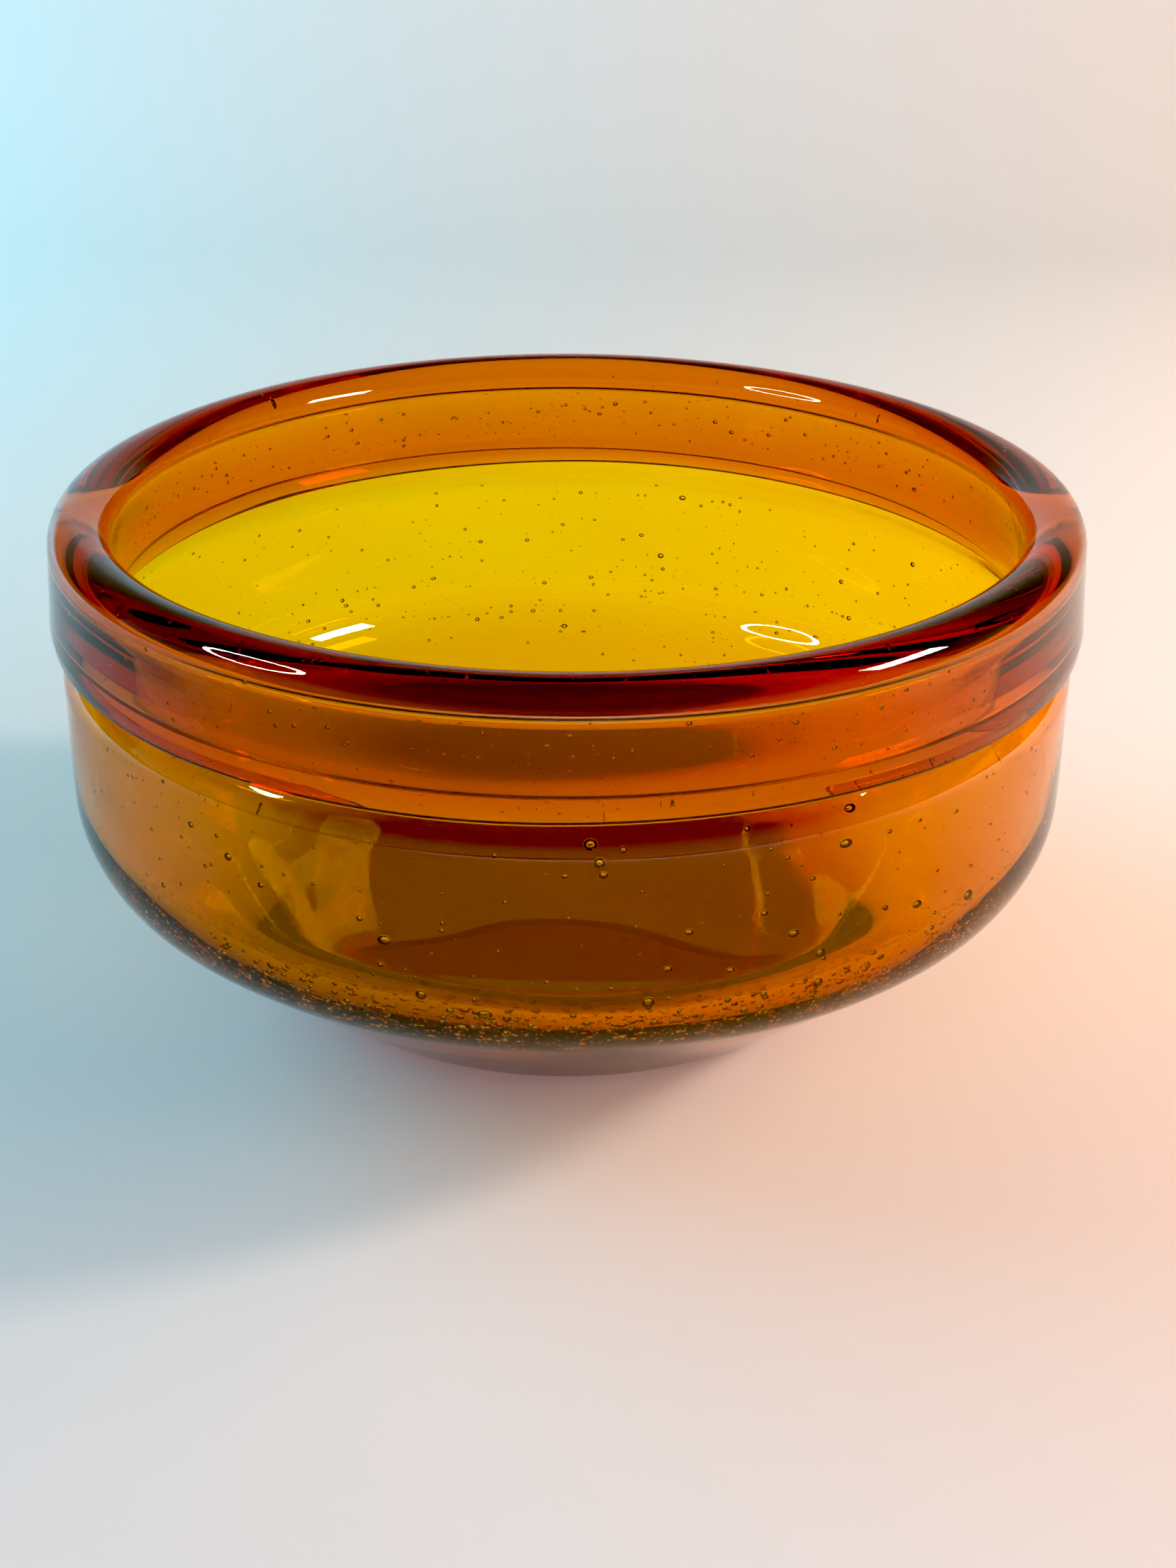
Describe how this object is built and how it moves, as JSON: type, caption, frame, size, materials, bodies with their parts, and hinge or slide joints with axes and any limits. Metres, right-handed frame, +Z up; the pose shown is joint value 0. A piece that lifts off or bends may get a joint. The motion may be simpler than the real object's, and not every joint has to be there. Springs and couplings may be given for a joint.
{
  "type": "art glass bowl",
  "caption": "Heavy free-standing blown-glass bowl in amber, with upright sides, a conical underside, a small flat foot and a thick hollow collar folded from the rim.",
  "frame": {"origin": "middle of the flat foot, on the surface that the bowl stands on", "axes": "+Z up along the bowl's axis, towards the collar; the bowl is round, so X and Y are free"},
  "size_m": [0.1918, 0.1918, 0.096],
  "materials": {
    "amber_glass": "clear fire-polished glass with air seeds"
  },
  "bodies": {
    "root": {"base_gather": "amber_glass", "bowl_wall": "amber_glass", "collar_core": "amber_glass", "folded_lip": "amber_glass"}
  },
  "joints": []
}
